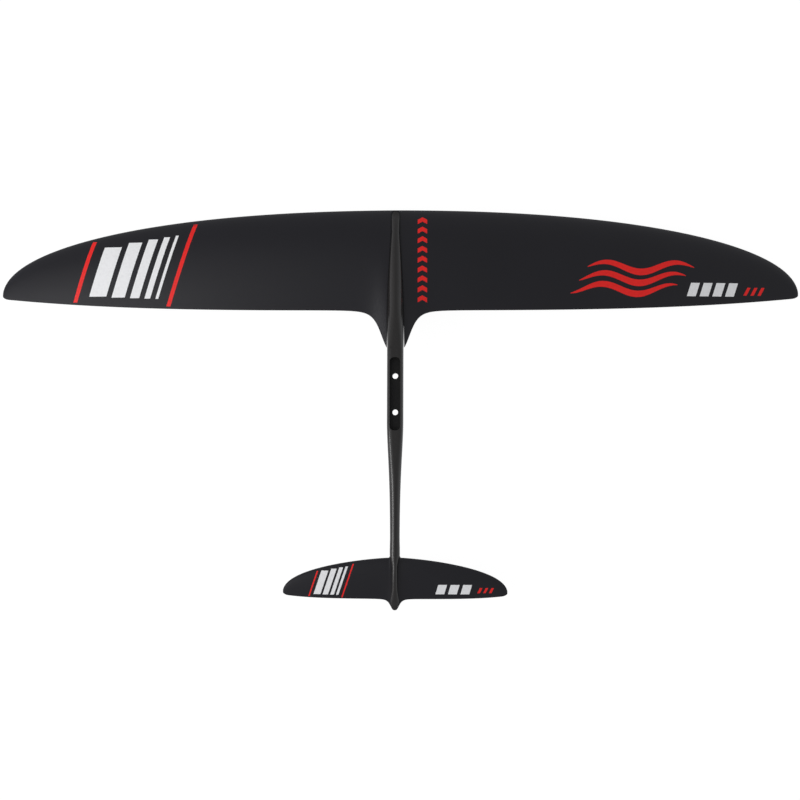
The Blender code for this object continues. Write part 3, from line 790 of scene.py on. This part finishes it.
def body_plan(ys, inset=0.0):
    rows = []
    for y in ys:
        width = body_half_width(y) - inset
        rows.append([(share * width, y) for share in WIDTH_SHARES])
    return rows


def socket_ring(grow=0.0):
    """Plan points round the mast socket: a long slot whose corners are rounded."""
    count = 10
    half_width = SOCKET_WIDTH / 2 + grow
    half_length = SOCKET_LENGTH / 2 + grow
    corner = SOCKET_CORNER + grow
    ring = []
    for side_x, side_y, first in ((1, 1, 0), (-1, 1, 90), (-1, -1, 180), (1, -1, 270)):
        for step in range(count + 1):
            angle = math.radians(first + 90 * step / count)
            ring.append((side_x * (half_width - corner) + corner * math.cos(angle),
                         side_y * (half_length - corner) + corner * math.sin(angle)))
    return ring


def slot_cutter(name, top):
    """The mast slot down to its floor at z = 0, opening out a little where it meets the top."""
    rings = [[(x, y, 0.0) for x, y in socket_ring()]]
    for angle in (0, 20, 40, 60, 75):
        turn = math.radians(angle)
        grow = SOCKET_ROUND_OVER * (1 - math.cos(turn))
        drop = SOCKET_ROUND_OVER * (1 - math.sin(turn))
        rings.append([(x, y, top(x, y) - drop) for x, y in socket_ring(grow)])
    rings.append([(x, y, ABOVE) for x, y in socket_ring(SOCKET_ROUND_OVER)])
    return ring_loft(name, rings)


def pocket_cutter(name, y_range, inset, above):
    """A hollow under the upper shell, or above the lower one, that leaves a wall of inset."""
    plan = body_plan(stations(y_range[0], y_range[1], 0.006), inset)
    if above:
        return slab(name, plan, lambda x, y: shell_top(x, y, inset), lambda x, y: BELOW)
    return slab(name, plan, lambda x, y: ABOVE, lambda x, y: shell_bottom(x, y, inset))


def node_span_y(node):
    """The node's first and last y, with the clearance round it."""
    low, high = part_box(node)
    return high.y + GAP, low.y - GAP


def add_fuselage():
    nose = stations(NOSE_TIP_Y, NOSE_STEP_Y + GAP, 0.004, 0.004)
    body = stations(NOSE_STEP_Y, TAIL_STEP_Y, 0.004)
    tail = stations(TAIL_TIP_Y, TAIL_STEP_Y - GAP, 0.002, 0.003)
    top = slab("fuselage_top", body_plan(nose + body + tail), shell_top, under_upper_shell)
    cutters = [slot_cutter("slot_in_top", shell_top)]
    for node, wall in (("nose_thread_block", SHELL_WALL), ("mast_block", SHELL_WALL),
                       ("boom_core", SHELL_WALL), ("tail_thread_block", TAIL_WALL)):
        cutters.append(pocket_cutter("top_pocket_" + node, node_span_y(node), wall, True))
    carve(top, cutters)
    keep(top, "fuselage_carbon", BODY_CARBON, "fuselage_upper_shell")

    low = stations(NOSE_STEP_Y - GAP, TAIL_STEP_Y + GAP, 0.004)
    belly = slab("fuselage_belly", body_plan(low), lambda x, y: SPLIT_Z - GAP / 2,
                 shell_bottom)
    cutters = [pocket_cutter("belly_pocket_" + node, node_span_y(node), SHELL_WALL, False)
               for node in ("mast_block", "boom_core")]
    for name in ("front", "rear"):
        y = node_centre_y("mast_bush_" + name)
        radius = node_radius("mast_bush_" + name) + 0.0002
        mouth = shell_bottom(radius, y)
        cutters.append(round_cutter("belly_hole_" + name, radius, (BELOW, ABOVE), y, 0.0004,
                                    mouth - 0.0002))
    carve(belly, cutters)
    keep(belly, "fuselage_carbon", BODY_CARBON, "fuselage_lower_shell")


def add_mast_block():
    """The milled block that forms the socket, with its floor and its bolt holes."""
    low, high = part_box("mast_block")
    inset = SHELL_WALL + GAP
    block = slab("mast_socket_block", body_plan(stations(high.y, low.y, 0.005), inset),
                 lambda x, y: shell_top(x, y, inset), lambda x, y: shell_bottom(x, y, inset))
    cutters = [slot_cutter("slot_in_block", lambda x, y: 0.04)]
    for name in ("front", "rear"):
        bush = "mast_bush_" + name
        bush_low, bush_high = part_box(bush)
        y = node_centre_y(bush)
        flange = node_radius(bush)
        for label, radius, roof in (("hole", MAST_HOLE_RADIUS, 0.001),
                                    ("bore", BUSH_RADIUS + GAP, bush_high.z + GAP),
                                    ("seat", flange + GAP,
                                     bush_low.z + BUSH_FLANGE_HEIGHT + GAP)):
            cutters.append(round_cutter("block_%s_%s" % (label, name), radius,
                                        (BELOW, roof), y))
    carve(block, cutters)
    keep(block, "black_aluminium", BLACK_ALUMINIUM, "mast_block")


add_fuselage()
add_mast_block()


# ---- bushes, ferrules and screws ----
def add_bushes():
    for name in ("front", "rear"):
        node = "mast_bush_" + name
        low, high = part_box(node)
        flange = node_radius(node)
        step = low.z + BUSH_FLANGE_HEIGHT
        profile = ((BUSH_RADIUS, high.z), (BUSH_RADIUS, step), (flange, step),
                   (flange, low.z), (MAST_HOLE_RADIUS, low.z), (MAST_HOLE_RADIUS, high.z))
        piece = turned("bolt_bush_" + name, softened(profile, 0.0004), node_centre_y(node),
                       STEEL)
        keep(piece, "stainless_steel", STEEL, node)


def add_screw_set(label, size):
    """The ferrule and the countersunk socket screw of one wing fixing."""
    ferrule_low, ferrule_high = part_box(label + "_ferrule")
    screw_low, screw_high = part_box(label + "_screw")
    y = node_centre_y(label + "_screw")
    outer = node_radius(label + "_ferrule")
    head = node_radius(label + "_screw")
    bore = size["shank"] + GAP
    depth = size["head_depth"]
    ferrule = ((outer, ferrule_high.z), (outer, ferrule_low.z),
               (head + 1.5 * GAP, ferrule_low.z), (bore, ferrule_low.z + depth),
               (bore, ferrule_high.z))
    ring = turned(label + "_seat_ring", softened(ferrule, 0.0002), y, STEEL)
    keep(ring, "stainless_steel", STEEL, label + "_ferrule")

    bottom = screw_low.z
    shank = size["shank"]
    profile = [(0.0, screw_high.z), (shank * 0.85, screw_high.z),
               (shank, screw_high.z - shank * 0.15), (shank, bottom + depth),
               (head, bottom + 0.00015), (head - 0.0001, bottom), (0.0, bottom)]
    screw = turned(label + "_socket_screw", profile, y, STEEL)
    key = ring_loft(label + "_hex", [
        [(px, py + y, z) for px, py in ring_points(size["key"] + grow, 6)]
        for z, grow in ((bottom - 0.01, 0.0002), (bottom, 0.0002), (bottom + 0.0002, 0.0),
                        (bottom + depth * 0.8, 0.0))])
    carve(screw, [key], 40)
    keep(screw, "stainless_steel", STEEL, label + "_screw")


add_bushes()
for wing_screw in WING_SCREWS:
    add_screw_set(wing_screw, {"shank": 0.0040, "head_depth": 0.0032, "key": 0.0029})
for stab_screw in STAB_SCREWS:
    add_screw_set(stab_screw, {"shank": 0.0018, "head_depth": 0.0016, "key": 0.0015})


# ---- the pieces inside keep their CAD meshes ----
INSIDE = {"core": CORE, "spar": LAMINATE, "root_block": LAMINATE, "thread_block": ALUMINIUM,
          "insert": BRASS, "boom_core": LAMINATE}
for node_name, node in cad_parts.items():
    for word, material in INSIDE.items():
        if word in node_name and not node.hide_render:
            node.data.materials.clear()
            node.data.materials.append(material)


# ---- prints ----
def ribbon(path, width, across, count):
    """Plan rows along a path; each row crosses it in a fixed direction."""
    rows = []
    for i in range(count + 1):
        t = i / count
        x, y = path(t)
        half = width(t) / 2
        rows.append([(x + across[0] * half * k, y + across[1] * half * k)
                     for k in (-1, -0.5, 0, 0.5, 1)])
    return rows


def print_on(name, foil, ribbons, material):
    """Ink that lies on a wing's upper skin."""
    bm = bmesh.new()
    for rows in ribbons:
        slab_into(bm, rows, lambda x, y: foil.upper(x, y) + INK_HEIGHT,
                  lambda x, y: foil.upper(x, y) - INK_HEIGHT)
    piece = mesh_object(name, bm)
    keep(piece, None, material)


def slanted_bar(x, low, high, width, lean):
    """A bar that runs from low to high in y, leaning by lean for each unit of height."""
    def path(t):
        y = low + (high - low) * t
        return x + lean * (y - low), y
    return ribbon(path, lambda t: width, (1, 0), 24)


def chevron(x, y, size, width):
    """A small arrowhead that points to the nose."""
    def path(t):
        return x + size * (2 * t - 1), y - 0.55 * size * abs(2 * t - 1)
    return ribbon(path, lambda t: width, (0, 1), 8)


def swell(x, y, length, rise, width, phase):
    """A wave line that thins out to both ends."""
    def path(t):
        return x + length * t, y + rise * math.sin(2 * math.pi * 1.5 * t + phase)
    return ribbon(path, lambda t: width * max(math.sin(math.pi * t), 0.02) ** 0.6, (0, 1), 72)


BLOCK_LEAN = 0.34               # of the blocks and bars on the port side


def add_wing_prints():
    white = []
    x = -0.520
    for width in (0.030, 0.023, 0.016, 0.010, 0.005):
        x += width / 2
        low = WING.trailing(x) + 0.016
        high = WING.leading(x) - 0.018
        white.append(slanted_bar(x, low, high, width, BLOCK_LEAN))
        x += width / 2 + 0.009
    print_on("print_port_blocks", WING, white, WHITE_INK)
    red = []
    for x, width in ((-0.545, 0.007), (-0.383, 0.007)):
        low = WING.trailing(x) + 0.004
        high = WING.leading(x + BLOCK_LEAN * 0.08) - 0.005
        red.append(slanted_bar(x, low, high, width, BLOCK_LEAN))
    print_on("print_port_bars", WING, red, RED_INK)

    marks = [chevron(0.0445, 0.290 - 0.0162 * i, 0.0078, 0.0075) for i in range(9)]
    print_on("print_root_marks", WING, marks, RED_INK)

    waves = [swell(0.318 - 0.014 * i, 0.212 - 0.018 * i, 0.178, 0.008, 0.011, -0.6 * i)
             for i in range(3)]
    print_on("print_starboard_swell", WING, waves, RED_INK)
    blocks = [slanted_bar(0.492 + 0.0215 * i, 0.165, 0.187, 0.015, 0.3) for i in range(4)]
    print_on("print_starboard_blocks", WING, blocks, WHITE_INK)
    ticks = [slanted_bar(0.583 + 0.012 * i, 0.167, 0.180, 0.0055, 0.5) for i in range(3)]
    print_on("print_starboard_ticks", WING, ticks, RED_INK)


def add_tail_prints():
    white = []
    x = -0.134
    for width in (0.0115, 0.009, 0.0062, 0.004):
        x += width / 2
        low = STAB.trailing(x) + 0.006
        high = STAB.leading(x + BLOCK_LEAN * 0.03) - 0.006
        white.append(slanted_bar(x, low, high, width, BLOCK_LEAN))
        x += width / 2 + 0.0035
    print_on("print_tail_blocks", STAB, white, WHITE_INK)
    red = []
    for x in (-0.1415, -0.0870):
        low = STAB.trailing(x) + 0.002
        high = STAB.leading(x + BLOCK_LEAN * 0.03) - 0.003
        red.append(slanted_bar(x, low, high, 0.0024, BLOCK_LEAN))
    print_on("print_tail_bars", STAB, red, RED_INK)
    blocks = [slanted_bar(0.074 + 0.0205 * i, -0.3285, -0.3130, 0.0145, 0.3)
              for i in range(3)]
    print_on("print_tail_right_blocks", STAB, blocks, WHITE_INK)
    ticks = [slanted_bar(0.1375 + 0.0095 * i, -0.3265, -0.3180, 0.0042, 0.5)
             for i in range(3)]
    print_on("print_tail_right_ticks", STAB, ticks, RED_INK)


add_wing_prints()
add_tail_prints()


# ---- floor, light and camera ----
def add_floor():
    """A pale floor that turns up into a low wall far away; it can be seen through from below."""
    bm = bmesh.new()
    level = LOWEST_Z - 0.0005
    flat_radius = 4.0
    bend_radius = 2.0
    sides = 96
    profile = [(1.5, level), (flat_radius, level)]
    for degrees in range(10, 91, 10):
        turn = math.radians(degrees)
        profile.append((flat_radius + bend_radius * math.sin(turn),
                        level + bend_radius * (1 - math.cos(turn))))
    rings = []
    for radius, z in profile:
        angles = [2 * math.pi * k / sides for k in range(sides)]
        rings.append([bm.verts.new((radius * math.cos(a), radius * math.sin(a), z))
                      for a in angles])
    bm.faces.new(rings[0])
    for inner, outer in zip(rings, rings[1:]):
        for a in range(sides):
            b = (a + 1) % sides
            bm.faces.new((inner[b], inner[a], outer[a], outer[b]))
    floor = mesh_object("studio_floor", bm, 60)
    shade = Shade("studio_paper")
    shade.set("Base Color", shade.mix(shade.noise(3, 3), (0.07, 0.07, 0.07), (0.09, 0.09, 0.09)))
    shade.set("Roughness", 0.9)
    shade.set("Emission Color", (1.0, 1.0, 1.0, 1.0))
    shade.set("Emission Strength", 0.96)
    tree = shade.tree
    clear = tree.nodes.new("ShaderNodeBsdfTransparent")
    side = tree.nodes.new("ShaderNodeNewGeometry")
    blend = tree.nodes.new("ShaderNodeMixShader")
    tree.links.new(side.outputs["Backfacing"], blend.inputs[0])
    tree.links.new(shade.shader.outputs[0], blend.inputs[1])
    tree.links.new(clear.outputs[0], blend.inputs[2])
    tree.links.new(blend.outputs[0], tree.nodes["Material Output"].inputs["Surface"])
    floor.data.materials.append(shade.material)
    floor.visible_glossy = False
    floor.visible_diffuse = False


def add_area_light(name, position, target, size, power, glossy=True):
    data = bpy.data.lights.new(name, "AREA")
    data.shape = "RECTANGLE"
    data.size, data.size_y = size
    data.energy = power
    light = bpy.data.objects.new(name, data)
    bpy.context.scene.collection.objects.link(light)
    light.location = position
    toward = Vector(target) - Vector(position)
    light.rotation_euler = toward.to_track_quat("-Z", "Y").to_euler()
    light.visible_camera = False
    light.visible_glossy = glossy


def add_world(overhead, horizon):
    """Soft light from all round, dimmer overhead than towards the horizon."""
    world = bpy.data.worlds.new("studio")
    bpy.context.scene.world = world
    world.use_nodes = True
    tree = world.node_tree
    background = tree.nodes["Background"]
    background.inputs["Color"].default_value = (0.97, 0.98, 1.0, 1.0)
    direction = tree.nodes.new("ShaderNodeTexCoord")
    parts = tree.nodes.new("ShaderNodeSeparateXYZ")
    height = tree.nodes.new("ShaderNodeMath")
    height.operation = "ABSOLUTE"
    level = tree.nodes.new("ShaderNodeMapRange")
    level.inputs["To Min"].default_value = horizon
    level.inputs["To Max"].default_value = overhead
    tree.links.new(direction.outputs["Generated"], parts.inputs[0])
    tree.links.new(parts.outputs["Z"], height.inputs[0])
    tree.links.new(height.outputs[0], level.inputs["Value"])
    tree.links.new(level.outputs["Result"], background.inputs["Strength"])


def add_camera():
    """Straight above the fuselage, a little to starboard and towards the tail."""
    aim = Vector((0.0080, -0.0098, 0.0))
    distance = 2.0
    starboard, aft, roll = math.radians(1.771), math.radians(2.250), math.radians(0.146)
    back = Vector((math.tan(starboard), -math.tan(aft), 1.0)).normalized()
    right = Vector((0.0, 1.0, 0.0)).cross(back).normalized()
    up = back.cross(right)
    turned_right = right * math.cos(roll) + up * math.sin(roll)
    turned_up = up * math.cos(roll) - right * math.sin(roll)
    data = bpy.data.cameras.new("camera")
    data.lens = 54.60
    data.sensor_width = 36.0
    data.clip_start = 0.05
    data.clip_end = 50.0
    camera = bpy.data.objects.new("camera", data)
    bpy.context.scene.collection.objects.link(camera)
    axes = Matrix((turned_right, turned_up, back)).transposed().to_4x4()
    camera.matrix_world = Matrix.Translation(aim + back * distance) @ axes
    bpy.context.scene.camera = camera


add_floor()
add_world(0.32, 0.80)
add_area_light("low_port", (-3.5, -0.4, 0.9), (0, -0.1, 0), (2.0, 3.0), 104, glossy=False)
add_area_light("high_port", (-1.6, -0.3, 2.8), (0, -0.1, 0), (1.0, 2.4), 4.0)
add_area_light("strip_port", (-1.50, -0.46, 1.55), (0, -0.10, 0), (0.24, 1.10), 4.2)
add_camera()
bpy.context.scene.view_settings.view_transform = "Standard"
